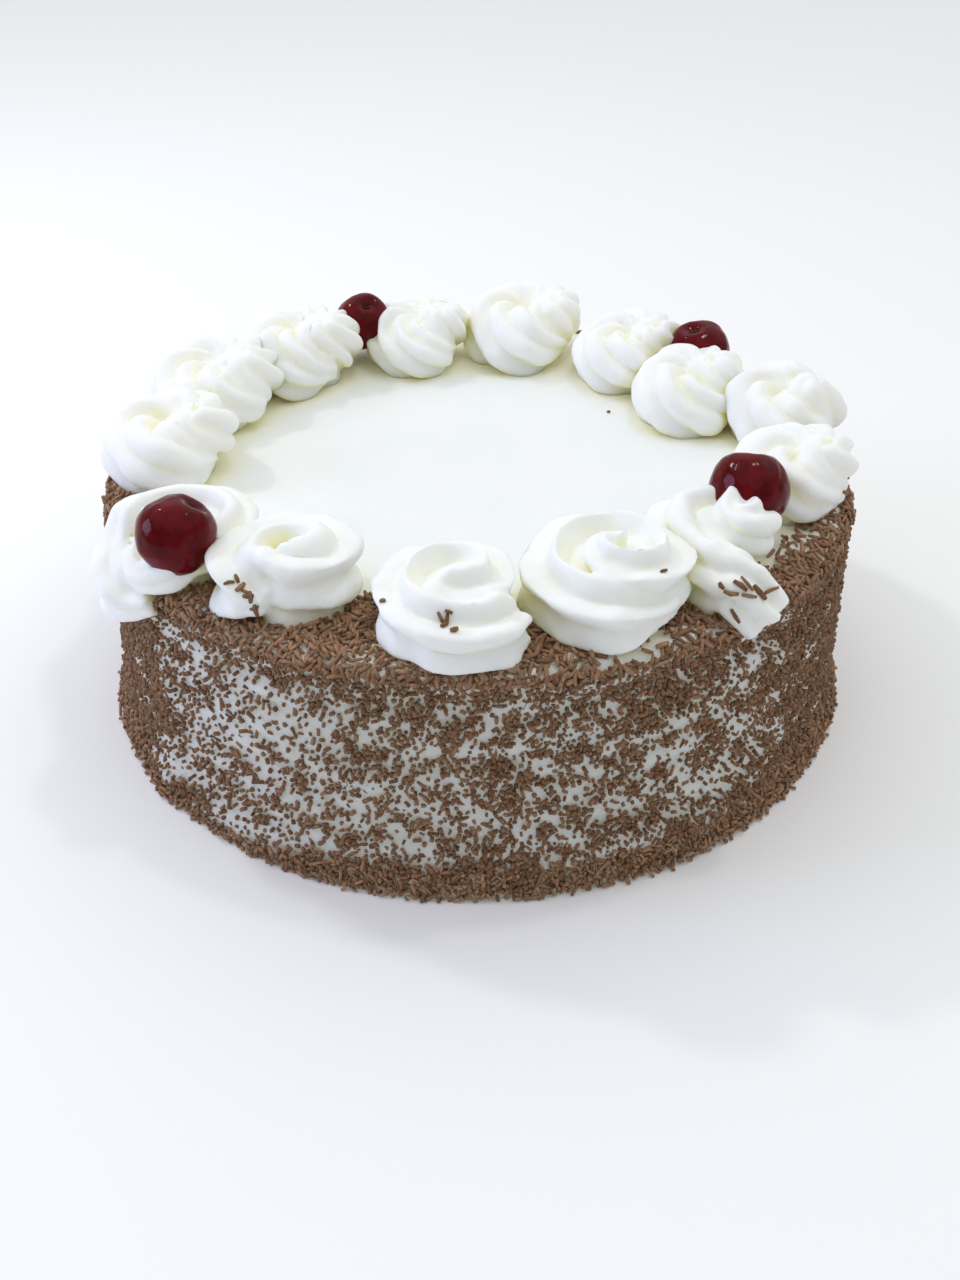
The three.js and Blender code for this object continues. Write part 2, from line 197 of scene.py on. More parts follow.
# How the cover of the side varies beside that: clumps as wavelength, seed and share, and the heights
# between which it grows to nearly full below the rim.
CLUMPS = ((22, 21, 0.1), (8, 22, 0.2), (4.5, 23, 0.2))
FULL = {"share": 0.6, "from": 52, "to": 61}
LEAST_COVER = 0.05
# The space between sprinkles on the bare cream, how much of it a full cover takes, and the least.
SPACING = {"bare": 2.35, "taken": 1.65, "least": 0.88}
# Where along the coat's profile the sprinkles on the rim end, by azimuth, how soon they thin out before
# that, and the bare strip in the rim: azimuth, profile length, half widths and the share that is gone.
RIM_END = (
    (0, 80), (40, 72), (90, 70), (140, 72), (180, 80), (225, 86), (243, 89), (250, 97), (257, 91), (268, 85),
    (277, 92), (284, 85), (308, 86), (318, 79), (342, 78), (360, 80),
)
RIM_FADING = 12
RIM_BARE = {"azimuth": 292, "length": 69, "half_azimuth": 9, "half_length": 3.5, "gone": 0.9}
RIM_CLEARANCE = {"height": 0.8, "least": 0.3}  # of a sprinkle from the rosettes
# How high the band at the foot is piled, by azimuth, how ragged its edge is, and where it thins out.
FOOT_HEIGHT = ((0, 9), (200, 10), (214, 7), (224, 3.5), (240, 4), (248, 9), (300, 10), (360, 9))
FOOT_EDGE = (0.75, 1.1)
FOOT_THIN = 15
# Each kind of sprinkle: its span of the profile, how many places are tried, the least space between two
# (that of the side follows its cover), the shortest, the usual and the longest, the thinnest and the
# thickest, how far they are lifted, how much they tilt in degrees, the share that pokes in end-on, and
# their tones from dark to light. The tones differ at random from rod to rod, and the side's are kept
# darker than those of the rim and the foot: painted shade on the side.
SIDE = {
    "span": (2, 65),
    "tries": 120000,
    "lengths": (0.7, 1.2, 3),
    "widths": (0.85, 1.55),
    "lift": (-0.1, 0.5),
    "tilt": 25,
    "poke": 0.5,
    "bent": False,
    "tones": (0, 0.6),
}
RIM = {
    "span": (63.5, 97),
    "tries": 110000,
    "spacing": 1.05,
    "lengths": (1.2, 2.4, 5.2),
    "widths": (0.85, 1.45),
    "lift": (0, 1.3),
    "tilt": 15,
    "poke": 0.1,
    "bent": True,
    "tones": (0.25, 1),
}
FOOT = {
    "span": (0.6, 12),
    "tries": 90000,
    "spacing": 0.98,
    "lengths": (1, 2, 3.6),
    "widths": (0.8, 1.3),
    "lift": (0, 1.9),
    "tilt": 20,
    "poke": 0.15,
    "bent": False,
    "tones": (0.15, 1),
}
# A sprinkle's section and ends, its bend, and how much of its thickness lies free of the cream.
ROD = {"sides": 5, "end": 0.7, "straight": 0.88, "bend": 0.06, "free": 0.35}
POKING = (40, 88)  # degrees that a sprinkle stands up when it pokes in end-on
SIDE_SPLIT = 30  # the side's sprinkles make two pieces, below and above this length of the profile
# Sprinkles that lie loose on the cream: x, y, azimuth in degrees and length.
LOOSE = (
    (-57.5, -81, 20, 2.6), (-56, -79.5, 120, 2.2), (-55, -81.5, 60, 3), (-53.5, -82.5, 150, 2.6),
    (-52.5, -83.5, 100, 3), (-51.5, -84, 30, 2.4), (-51, -84.5, 80, 3), (-53, -83.2, 10, 2.6),
    (-54, -84, 140, 2), (-50, -85, 110, 2.6), (-49, -84.5, 86, 5.5), (-41.5, -84, 60, 3.6),
    (-42.5, -85, 120, 2.4), (-38, -84, 20, 1.5), (-21.3, -89.6, 0, 1.4), (-7.6, -97.8, 95, 4),
    (-6.8, -98.2, 80, 4), (-7.2, -99.5, 60, 2.4), (-5, -101.5, 30, 1.8), (-6.2, -97.2, 140, 1.8),
    (18, -91.4, 60, 3.6), (42.5, -84.5, 40, 2), (57, -80.8, 90, 1.8), (59, -82, 150, 3.6),
    (61, -81.6, 130, 3.8), (62.6, -81, 125, 4.4), (60.3, -83, 100, 4), (63, -83, 165, 3.6),
    (65.4, -81.6, 155, 4.4), (68.7, -78.5, 65, 4.6), (67, -80.5, 40, 2.6), (58.3, -83, 60, 2),
    (75.5, -59.5, 30, 1.6), (77.5, -56, 90, 1.8), (75, -49.2, 10, 1.6), (79.5, -53, 60, 1.6),
    (77, -52.6, 50, 2), (96, -31.6, 0, 1.4), (39.6, 31.9, 0, 1),
)
# The lip where the coat was smoothed over the edge, and the shallow groove below it.
LIP = {"height": 62.8, "out": 0.7, "recess": 57.5, "deep": 0.6, "spread": 2.4}

# ---------------------------------------------------------------- small helpers


def direction(degrees):
    """Level unit vectors at these azimuths."""
    angle = np.radians(degrees)
    return np.stack([np.cos(angle), np.sin(angle), np.zeros_like(angle)], axis=-1)


def smoothstep(x, low, high):
    t = np.clip((x - low) / (high - low), 0, 1)
    return t * t * (3 - 2 * t)


def bump(distance, spread):
    return np.exp(-((distance / spread) ** 2))


def degrees_apart(one, other):
    turned = np.abs(one - other) % 360
    return np.minimum(turned, 360 - turned)


def unit(vectors):
    return vectors / np.linalg.norm(vectors, axis=-1, keepdims=True)


def soft_noise(points, wavelength, seed, waves=14):
    """Smooth noise of about unit size at points, from plane waves in random directions."""
    rng = np.random.default_rng(seed)
    total = np.zeros(len(points))
    for _ in range(waves):
        heading = unit(rng.normal(size=3))
        stretch = rng.uniform(0.7, 1.4)
        phase = rng.uniform(0, 2 * math.pi)
        total += np.sin(points @ heading * (2 * math.pi * stretch / wavelength) + phase)
    return total * math.sqrt(2 / waves)


def relief(points, wavelength, seed, depth):
    """Smooth noise of a depth, or of a share."""
    return soft_noise(points, wavelength, seed) * depth


def add_piece(name, points, faces, material):
    """A smooth mesh object from points in millimetres."""
    mesh = bpy.data.meshes.new(name)
    mesh.from_pydata((np.asarray(points) * MM).tolist(), [], faces)
    mesh.polygons.foreach_set("use_smooth", [True] * len(mesh.polygons))
    mesh.materials.append(material)
    mesh.update()
    piece = bpy.data.objects.new(name, mesh)
    bpy.context.scene.collection.objects.link(piece)
    return piece


def points_of(mesh):
    flat = np.empty(3 * len(mesh.vertices))
    mesh.vertices.foreach_get("co", flat)
    return flat.reshape(-1, 3) / MM


def set_points(mesh, points):
    mesh.vertices.foreach_set("co", (points * MM).ravel())
    mesh.update()


def normals_of(mesh):
    flat = np.empty(3 * len(mesh.vertices))
    mesh.vertices.foreach_get("normal", flat)
    return flat.reshape(-1, 3)


def neighbour_mean(points, edges, count):
    """The mean of each point's neighbours along the mesh's edges."""
    one = np.concatenate([edges[:, 0], edges[:, 1]])
    other = np.concatenate([edges[:, 1], edges[:, 0]])
    share = np.bincount(one, minlength=count).astype(float)[:, None]
    total = [np.bincount(one, points[other, axis], count) for axis in range(points.shape[1])]
    return np.stack(total, axis=1) / np.maximum(share, 1)


def edges_of(mesh):
    flat = np.empty(2 * len(mesh.edges), np.int64)
    mesh.edges.foreach_get("vertices", flat)
    return flat.reshape(-1, 2)


def relaxed(mesh, rounds, amount):
    points = points_of(mesh)
    edges = edges_of(mesh)
    for _ in range(rounds):
        points += amount * (neighbour_mean(points, edges, len(points)) - points)
    return points


def store(mesh, name, values):
    layer = mesh.attributes.new(name, "FLOAT", "POINT")
    layer.data.foreach_set("value", np.asarray(values, np.float32))


def store_hollows(mesh):
    """Stores how deep each point lies in a crevice, from 0 to 1, as the attribute hollow, which the cream's
    painted crease shade follows.
    """
    smoothed = relaxed(mesh, SKIN["hollow_rounds"], SKIN["hollow_relaxing"])
    depth = ((smoothed - points_of(mesh)) * normals_of(mesh)).sum(axis=1)
    store(mesh, "hollow", np.clip(depth / SKIN["hollow_depth"], 0, 1))


def remeshed(piece, voxel):
    """The piece's mesh as one clean skin of even small faces."""
    modifier = piece.modifiers.new("skin", "REMESH")
    modifier.mode = "VOXEL"
    modifier.voxel_size = voxel * MM
    found = piece.evaluated_get(bpy.context.evaluated_depsgraph_get())
    mesh = bpy.data.meshes.new_from_object(found)
    piece.modifiers.clear()
    old = piece.data
    piece.data = mesh
    bpy.data.meshes.remove(old)
    mesh.polygons.foreach_set("use_smooth", [True] * len(mesh.polygons))
    return mesh


# ---------------------------------------------------------------- materials

CREAM_GLOW = (1.0, 0.9, 0.7)  # how far red, green and blue light spread in cream
CREAM_REACH = 0.012  # metres that light spreads in the softest cream
TONES = (0.3, 0.7)  # the shares of a noise between which one colour turns into the other


class Shader:
    """A Principled material and the few node helpers that the finishes share."""

    def __init__(self, name, **sockets):
        self.material = bpy.data.materials.new(name)
        self.material.use_nodes = True
        self.tree = self.material.node_tree
        self.surface = self.tree.nodes["Principled BSDF"]
        for socket, value in sockets.items():
            self.surface.inputs[socket.replace("_", " ")].default_value = value
        self.place = self.tree.nodes.new("ShaderNodeTexCoord").outputs["Object"]

    def node(self, kind, **values):
        made = self.tree.nodes.new(kind)
        for key, value in values.items():
            socket = made.inputs.get(key.replace("_", " "))
            if socket is None:
                setattr(made, key, value)
            else:
                socket.default_value = value
        return made

    def link(self, output, target):
        self.tree.links.new(output, target)

    def attribute(self, name):
        return self.node("ShaderNodeAttribute", attribute_name=name).outputs["Fac"]

    def noise(self, size, detail=3, roughness=0.55):
        """Noise with features of a size in millimetres."""
        made = self.node("ShaderNodeTexNoise", Scale=1 / (size * MM), Detail=detail, Roughness=roughness)
        self.link(self.place, made.inputs["Vector"])
        return made.outputs["Fac"]

    def ramp(self, factor, *colours):
        """From one linear colour to another by factor."""
        made = self.node("ShaderNodeValToRGB")
        for element, position, colour in zip(made.color_ramp.elements, TONES, colours):
            element.position = position
            element.color = (*colour, 1)
        self.link(factor, made.inputs["Fac"])
        return made.outputs["Color"]

    def mix(self, factor, one, other, mode="MIX"):
        made = self.node("ShaderNodeMix", data_type="RGBA", blend_type=mode)
        for value, target in ((factor, 0), (one, 6), (other, 7)):
            if isinstance(value, bpy.types.NodeSocket):
                self.link(value, made.inputs[target])
            elif isinstance(value, tuple):
                made.inputs[target].default_value = (*value, 1)
            else:
                made.inputs[target].default_value = value
        return made.outputs[2]

    def bumps(self, *layers):
        """Bump from several heights, each with its height in millimetres."""
        normal = None
        for height, distance in layers:
            made = self.node("ShaderNodeBump", Strength=1, Distance=distance * MM)
            self.link(height, made.inputs["Height"])
            if normal is not None:
                self.link(normal, made.inputs["Normal"])
            normal = made.outputs["Normal"]
        self.link(normal, self.surface.inputs["Normal"])

    def colour(self, output):
        self.link(output, self.surface.inputs["Base Color"])

    def closeness(self, reach, least, most):
        """How shut in the surface is by what lies within a reach in millimetres, from 0 to 1."""
        open_share = self.node("ShaderNodeAmbientOcclusion", samples=4, Distance=reach * MM).outputs["AO"]
        made = self.node("ShaderNodeMapRange", From_Min=1 - least, From_Max=1 - most)
        self.link(open_share, made.inputs["Value"])
        return made.outputs["Result"]

    def rough(self, factor, low, high):
        made = self.node("ShaderNodeMapRange", To_Min=low, To_Max=high)
        self.link(factor, made.inputs["Value"])
        self.link(made.outputs["Result"], self.surface.inputs["Roughness"])


def cream_material(name, pale, crease_shade, deep, softness):
    """Whipped cream, more or less see-through, with painted shade: yellower in its creases and a deeper
    yellow where it is shut in.
    """
    shader = Shader(
        name,
        Subsurface_Weight=softness,
        Subsurface_Scale=CREAM_REACH * softness,
        Subsurface_Radius=CREAM_GLOW,
        Specular_IOR_Level=0.35,
    )
    plain = shader.ramp(shader.noise(14, 2), pale, (0.93, 0.943, 0.9))
    # Painted shade: a pale yellow in the creases by the attribute hollow, then a deeper yellow where the
    # cream is shut in.
    shaded = shader.mix(shader.attribute("hollow"), plain, crease_shade)
    shader.colour(shader.mix(shader.closeness(11, 0.5, 0.86), shaded, deep))
    shader.rough(shader.noise(5, 3), 0.42, 0.6)
    shader.bumps((shader.noise(3, 4), 0.12), (shader.noise(0.45, 2), 0.03))
    return shader.material


def coat_material():
    shader = Shader(
        "smoothed_cream",
        Subsurface_Weight=0.4,
        Subsurface_Scale=CREAM_REACH / 2,
        Subsurface_Radius=CREAM_GLOW,
        Specular_IOR_Level=0.35,
    )
    cloud = shader.noise(30, 2)
    top = shader.ramp(cloud, (0.85, 0.875, 0.87), (0.88, 0.895, 0.88))
    # Painted shade: the side's cream is darker and greyer than the top's, though the coat is one cream.
    side = shader.ramp(cloud, (0.63, 0.64, 0.6), (0.68, 0.69, 0.655))
    plain = shader.mix(shader.attribute("side"), top, side)
    # Painted light: where rosettes or sprinkles shut the coat in, it turns brighter and yellower, standing
    # in for light bounced between them.
    shader.colour(shader.mix(shader.closeness(14, 0.25, 0.8), plain, (0.98, 0.96, 0.74)))
    shader.rough(shader.noise(8, 3), 0.4, 0.58)
    shader.bumps((shader.noise(6, 3), 0.15), (shader.noise(0.6, 2), 0.02))
    return shader.material


def chocolate_material():
    shader = Shader("milk_chocolate", Specular_IOR_Level=0.2)
    mottled = shader.noise(1.1, 3)
    dark = shader.ramp(mottled, (0.131, 0.062, 0.028), (0.194, 0.101, 0.052))
    light = shader.ramp(mottled, (0.335, 0.184, 0.103), (0.472, 0.285, 0.172))
    shader.colour(shader.mix(shader.attribute("tone"), dark, light))
    shader.rough(mottled, 0.42, 0.62)
    shader.bumps((shader.noise(0.5, 3), 0.06))
    return shader.material


def cherry_material():
    shader = Shader("cherry_skin", Specular_IOR_Level=0.12)
    skin = shader.ramp(shader.noise(5, 3), (0.066, 0.001, 0.002), (0.14, 0.003, 0.007))
    # Painted shade: the skin turns near black in the stalk's dent.
    shader.colour(shader.mix(shader.attribute("hollow"), skin, (0.02, 0.001, 0.001)))
    shader.rough(shader.noise(2, 3), 0.06, 0.15)
    shader.bumps((shader.noise(1.6, 3), 0.1))
    return shader.material


def floor_material():
    shader = Shader("pale_floor", Roughness=0.9, Specular_IOR_Level=0.1)
    shader.colour(shader.ramp(shader.noise(400, 2), (0.94, 0.94, 0.94), (0.95, 0.95, 0.95)))
    return shader.material


# ---------------------------------------------------------------- the cream coat


def unevenness(azimuth, z):
    """How far the coat stands out from a true circle, by azimuth in degrees and height."""
    out = FOLD["depth"] * bump(degrees_apart(azimuth, FOLD["azimuth"]), FOLD["spread"])
    for lobes, depth, phase, lean in WAVES:
        out = out + depth * np.sin(lobes * np.radians(azimuth) + phase + lean * z)
    raised = LIP["out"] * bump(z - LIP["height"], LIP["spread"])
    recess = LIP["deep"] * bump(z - LIP["recess"], LIP["spread"])
    return out * smoothstep(CAKE["height"] - z, 0, CAKE["shoulder"]) + (raised - recess)


def coat_profile():
    """The coat's outline as rows of radius and height, from the bottom edge to the flat top."""
    side_top = CAKE["height"] - CAKE["shoulder"]
    rows = [(CAKE["bottom"], 0), (CAKE["bottom"], CAKE["foot_widest"]), (CAKE["side"], CAKE["foot_height"])]
    rows += [((CAKE["side"] + CAKE["rim"]) / 2, side_top / 2), (CAKE["rim"], side_top)]
    corner = CAKE["rim"] - CAKE["shoulder"]
    shoulder_rows = 12
    for angle in np.linspace(0, math.pi / 2, shoulder_rows + 1)[1:]:
        across = CAKE["shoulder"] * math.cos(angle)
        up = CAKE["shoulder"] * math.sin(angle)
        rows.append((corner + across, side_top + up))
    rows.append((CAKE["inner"], CAKE["height"]))
    return np.array(rows)


SIDE_ROWS = 5  # rows of the profile below the rounded shoulder
PROFILE = coat_profile()
PROFILE_LENGTH = np.concatenate([[0], np.cumsum(np.linalg.norm(np.diff(PROFILE, axis=0), axis=1))])


def coat_at(azimuth, length):
    """Points on the coat and their outward normals, by azimuth and length along the profile."""
    radius = np.interp(length, PROFILE_LENGTH, PROFILE[:, 0])
    z = np.interp(length, PROFILE_LENGTH, PROFILE[:, 1])
    nearby = 0.8  # how far along the profile, to both sides, its slope is taken
    run, rise = (
        np.interp(length + nearby, PROFILE_LENGTH, PROFILE[:, axis])
        - np.interp(length - nearby, PROFILE_LENGTH, PROFILE[:, axis])
        for axis in (0, 1)
    )
    outward = direction(azimuth)
    radius = radius + unevenness(azimuth, z)
    point = outward * radius[:, None] + np.stack([0 * z, 0 * z, z], axis=1)
    normal = unit(outward * rise[:, None] + np.stack([0 * z, 0 * z, -run], axis=1))
    return point, normal


def outside_coat(points, clearance):
    """Moves points that lie within the coat out to its surface."""
    points = points.copy()
    azimuth = np.degrees(np.arctan2(points[:, 1], points[:, 0]))
    radius = np.hypot(points[:, 0], points[:, 1])
    z = points[:, 2].copy()
    side_top = CAKE["height"] - CAKE["shoulder"]
    corner = CAKE["rim"] - CAKE["shoulder"]
    on_top = (radius <= corner) & (z < CAKE["height"] + clearance)
    z[on_top] = CAKE["height"] + clearance
    across, up = radius - corner, z - side_top
    reach = np.hypot(across, up)
    bend = CAKE["shoulder"] + clearance
    rounded = (across > 0) & (up > 0) & (reach < bend)
    scale = bend / np.maximum(reach, 1e-6)
    upright = PROFILE[:SIDE_ROWS]
    wall = np.interp(z, upright[:, 1], upright[:, 0]) + unevenness(azimuth, z) + clearance
    beside = (up <= 0) & (radius < wall)
    moved = np.where(rounded, corner + across * scale, np.where(beside, wall, radius))
    z = np.where(rounded, side_top + up * scale, z)
    points[:, :2] *= (moved / np.maximum(radius, 1e-6))[:, None]
    points[:, 2] = z
    return points


def cream_coat(material):
    sections = COAT_MESH["sections"]
    rows = np.concatenate(
        [
            np.linspace(0, COAT_MESH["side_end"], COAT_MESH["side"]),
            np.linspace(COAT_MESH["side_end"], COAT_MESH["rim_end"], COAT_MESH["rim"])[1:],
            np.linspace(COAT_MESH["rim_end"], PROFILE_LENGTH[-1], COAT_MESH["ledge"])[1:],
        ]
    )
    azimuth = np.arange(sections) * 360 / sections
    grid = []
    for length in rows:
        point, normal = coat_at(azimuth, np.full(sections, length))
        flattened = point * (1, 1, COAT_STREAKS["flatness"])
        streaks = relief(flattened, *COAT_STREAKS["long"]) + relief(point, *COAT_STREAKS["short"])
        fade = smoothstep(point[:, 2], 0, COAT_STREAKS["foot"])
        grid.append(point + normal * (streaks * fade)[:, None])
    for radius in np.linspace(CAKE["inner"], 0, COAT_MESH["top"])[1:-1]:
        point = direction(azimuth) * radius + (0, 0, CAKE["height"])
        grid.append(point + np.outer(relief(point, *COAT_STREAKS["top"]), (0, 0, 1)))
    count = len(grid)
    points = np.concatenate(grid + [np.array([[0, 0, CAKE["height"]], [0, 0, 0]])])
    top, bottom = count * sections, count * sections + 1
    faces = []
    for row in range(count - 1):
        here, above = row * sections, (row + 1) * sections
        for i in range(sections):
            j = (i + 1) % sections
            faces.append((here + i, here + j, above + j, above + i))
    final = (count - 1) * sections
    for i in range(sections):
        j = (i + 1) % sections
        faces.append((final + i, final + j, top))
        faces.append((j, i, bottom))
    piece = add_piece("cream_coat", points, faces, material)
    # The mask side is 1 down the side and 0 on the top; the coat's painted shade on the side follows it.
    topmost = smoothstep(points[:, 2], CAKE["height"] - CAKE["shoulder"], CAKE["height"] - 1)
    store(piece.data, "side", 1 - topmost)
    return piece


# ---------------------------------------------------------------- rosettes


def rosette_centre(rosette):
    return direction(rosette["azimuth"]) * rosette["ring"] + (0, 0, CAKE["height"])


def heading_of(rosette, share):
    """Where on its loop the rope is, as an azimuth."""
    return rosette["start"] - 360 * rosette["turns"] * share


def rope_points(rosette, share):
    """The rope's middle line, in millimetres, at shares of its way from start to tip."""
    thickness = rosette["radius"] * rosette["width"]
    trail = rosette["trail"] * np.maximum(0, 1 - share / rosette["trailing"]) ** 2
    closed = (1 - rosette["open"]) * share ** rosette["closing"]
    reach = (rosette["width"] / 2 - thickness) * (1 - closed) + trail
    point = direction(heading_of(rosette, share)) * reach[:, None]
    outward = direction(rosette["azimuth"])
    point += np.outer((rosette["stretch"] - 1) * (point @ outward), outward)
    point += np.outer(rosette["pull"] * share ** rosette["pulling"], direction(rosette["lean"]))
    point += rosette_centre(rosette)
    rest = rosette["rest"] * thickness
    climb = rosette["height"] - rest - rosette["tip"] * thickness
    beyond = np.maximum(0, np.hypot(point[:, 0], point[:, 1]) - DROOP["from"])
    point[:, 2] += rest + climb * share ** rosette["climb"] - DROOP["slope"] * beyond
    return point


def rope_radius(rosette, share):
    filled = rosette["blunt"] + (1 - rosette["blunt"]) * smoothstep(share, 0, rosette["rounding"])
    drawn = 1 - (1 - rosette["tip"]) * smoothstep(share, rosette["drawn"], 1)
    thinned = 1 - rosette["thinning"] * share
    return rosette["radius"] * rosette["width"] * filled * thinned * drawn


def rope_crease(rosette, around):
    """How deep the star nozzle's creases are round the rope, between ridges more or less crested."""
    wave = rosette["lobes"] * around / 2
    rounded = np.abs(np.cos(wave)) ** RIDGE
    crested = 1 - np.abs(np.sin(wave))
    return 1 - rounded - rosette["crest"] * (crested - rounded)


def tube(rings, sides):
    """Faces of a closed tube of rings of points, with an n-gon at either end."""
    faces = []
    for ring in range(rings - 1):
        here, ahead = ring * sides, (ring + 1) * sides
        for i in range(sides):
            j = (i + 1) % sides
            faces.append((here + i, here + j, ahead + j, ahead + i))
    faces.append(tuple(reversed(range(sides))))
    faces.append(tuple(range((rings - 1) * sides, rings * sides)))
    return faces


def rope_mesh(rosette):
    """The rope as a swept star, with the folds that the nozzle leaves."""
    rings, sides = ROPE_MESH["rings"], ROPE_MESH["sides"]
    share = np.linspace(0, 1, rings)
    middle = rope_points(rosette, share)
    ahead = unit(np.gradient(middle, axis=0))
    rise = unit(np.cross(ahead, direction(heading_of(rosette, share))))
    aside = np.cross(rise, ahead)
    around = np.arange(sides) * 2 * math.pi / sides
    spin = math.radians(rosette["spin"]) + 2 * math.pi * rosette["twist"] * rosette["turns"] * share
    angle = around[None, :] + spin[:, None]
    depth = rosette["groove"] * (1 - MERGING["tip"] * smoothstep(share, MERGING["from"], 1))
    crease = depth[:, None] * rope_crease(rosette, around)[None, :]
    radius = rope_radius(rosette, share)[:, None] * (1 - crease)
    points = (
        middle[:, None, :]
        + (radius * np.cos(angle))[:, :, None] * aside[:, None, :]
        + (radius * np.sin(angle))[:, :, None] * rise[:, None, :]
    )
    return points.reshape(-1, 3), tube(rings, sides)


def core_mesh(rosette):
    """The cream that fills the middle of the rosette, under the rope."""
    sides = ROPE_MESH["core_sides"]
    radius = rosette["width"] * (0.5 - rosette["radius"])
    rows = (
        (CORE["foot"] * radius, -CORE["sunk"], 0),
        (CORE["shoulder"] * radius, CORE["shoulder_height"] * rosette["height"], 1),
        (CORE["tip"] * radius, rosette["core"] * rosette["height"], 1),
    )
    azimuth = np.arange(sides) * 360 / sides
    shift = direction(rosette["lean"]) * rosette["pull"] * CORE["shift"]
    rings = [direction(azimuth) * r + (0, 0, z) + shift * moved for r, z, moved in rows]
    return np.concatenate(rings) + rosette_centre(rosette), tube(len(rows), sides)


def rosette_piece(index, material):
    shape = ROSETTES[index]
    name = f"piped_rosette_{index + 1:02d}"
    rope, rope_faces = rope_mesh(shape)
    core, core_faces = core_mesh(shape)
    shifted = [tuple(i + len(rope) for i in face) for face in core_faces]
    piece = add_piece(name, np.concatenate([rope, core]), rope_faces + shifted, material)
    mesh = remeshed(piece, SKIN["voxel"])
    points = relaxed(mesh, shape["soft"], SKIN["relaxing"])
    set_points(mesh, points)
    lumps = sum(relief(points, size, seed + index, depth) for size, seed, depth in ROSETTE_LUMPS)
    set_points(mesh, outside_coat(points + normals_of(mesh) * lumps[:, None], -SKIN["let_in"]))
    store_hollows(mesh)
    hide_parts(f"rosette_{index + 1:02d}")
    return piece


# ---------------------------------------------------------------- cherries


def aim_at(azimuth, elevation):
    """The unit vector to an azimuth and elevation in degrees."""
    level = math.cos(math.radians(elevation))
    return direction(azimuth) * level + (0, 0, math.sin(math.radians(elevation)))


def cherry_piece(index, material):
    middle, diameter, hollows = CHERRIES[index]
    body = bmesh.new()
    bmesh.ops.create_icosphere(body, subdivisions=5, radius=1)
    mesh = bpy.data.meshes.new(f"cherry_fruit_{index + 1}")
    body.to_mesh(mesh)
    body.free()
    heading = unit(points_of(mesh) * MM)
    radius = 1 + sum(relief(heading, size, seed + index, depth) for size, seed, depth in CHERRY_LUMPS)
    for azimuth, elevation, depth, spread in hollows:
        apart = np.arccos(np.clip(heading @ aim_at(azimuth, elevation), -1, 1))
        radius -= depth * bump(apart, spread)
    set_points(mesh, np.array(middle) + heading * (diameter / 2 * radius)[:, None])
    mesh.polygons.foreach_set("use_smooth", [True] * len(mesh.polygons))
    stalk = np.arccos(np.clip(heading @ aim_at(*hollows[0][:2]), -1, 1))
    store(mesh, "hollow", bump(stalk, hollows[0][3] * STALK_SHADE))
    mesh.materials.append(material)
    piece = bpy.data.objects.new(mesh.name, mesh)
    bpy.context.scene.collection.objects.link(piece)
    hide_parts(f"cherry_{index + 1}")
    return piece


# ---------------------------------------------------------------- sprinkles


def rods(rng, middle, along, up, length, thickness, bent):
    """Points and faces of many short blunt rods, with a slight bend or straight."""
    sides = ROD["sides"]
    around = np.arange(sides) * 2 * math.pi / sides
    side = unit(np.cross(along, up))
    over = np.cross(side, along)
    bend = rng.normal(0, ROD["bend"], len(middle)) * length
    rings = []
    if bent:
        places = ((-1, ROD["end"]), (0, 1), (1, ROD["end"]))
    else:
        places = ((-1, ROD["straight"]), (1, ROD["straight"]))
    for place, width in places:
        centre = middle + along * (place * length / 2)[:, None]
        if place == 0:
            centre = centre + side * bend[:, None]
        for angle in around:
            spread = side * math.cos(angle) + over * math.sin(angle)
            rings.append(centre + spread * (width * thickness / 2)[:, None])
    points = np.stack(rings, axis=1)
    below = np.minimum(points[:, :, 2].min(axis=1), 0)
    points[:, :, 2] -= below[:, None]
    reach = np.abs(points[:, :, :2]).max(axis=(1, 2))
    points[:, :, :2] *= np.minimum(1, CAKE["widest"] / reach)[:, None, None]
    pattern = tube(len(places), sides)
    count = points.shape[1]
    faces = [tuple(i * count + k for k in face) for i in range(len(middle)) for face in pattern]
    return points.reshape(-1, 3), faces


def scattered(rng, kind):
    """Places on the coat, as azimuth and profile length, at least the local spacing apart."""
    cell = 1.5  # the search grid's squares, in millimetres
    grid = {}
    kept = []
    azimuths = rng.uniform(0, 360, kind["tries"])
    lengths = rng.uniform(*kind["span"], kind["tries"])
    even = kind.get("spacing")
    spacings = wall_spacing(azimuths, lengths) if even is None else np.full(kind["tries"], even)
    arcs = np.radians(azimuths) * CAKE["side"]
    for i in range(kind["tries"]):
        x, y, gap = arcs[i], lengths[i], spacings[i]
        reach = int(gap / cell) + 1
        column, row = int(x / cell), int(y / cell)
        near = [
            place
            for a in range(column - reach, column + reach + 1)
            for b in range(row - reach, row + reach + 1)
            for place in grid.get((a, b), ())
        ]
        if all((px - x) ** 2 + (py - y) ** 2 >= gap * gap for px, py in near):
            grid.setdefault((column, row), []).append((x, y))
            kept.append(i)
    return azimuths[kept], lengths[kept]


def wall_cover(azimuth, z):
    """The share of the side that the sprinkles cover."""
    knots = np.array(COVER)
    cover = np.interp(azimuth, knots[:, 0], knots[:, 1])
    for middle, height, half_width, half_height, gone in PATCHES:
        near = bump(degrees_apart(azimuth, middle), half_width) * bump(z - height, half_height)
        cover = cover - gone * near
    point = direction(azimuth) * CAKE["side"] + np.stack([0 * z, 0 * z, z], axis=-1)
    clumps = sum(relief(point, *clump) for clump in CLUMPS)
    full = FULL["share"] * smoothstep(z, FULL["from"], FULL["to"])
    return np.clip((cover + clumps) * (1 - full) + full, LEAST_COVER, 1)


def wall_spacing(azimuth, length):
    return np.maximum(SPACING["least"], SPACING["bare"] - SPACING["taken"] * wall_cover(azimuth, length))


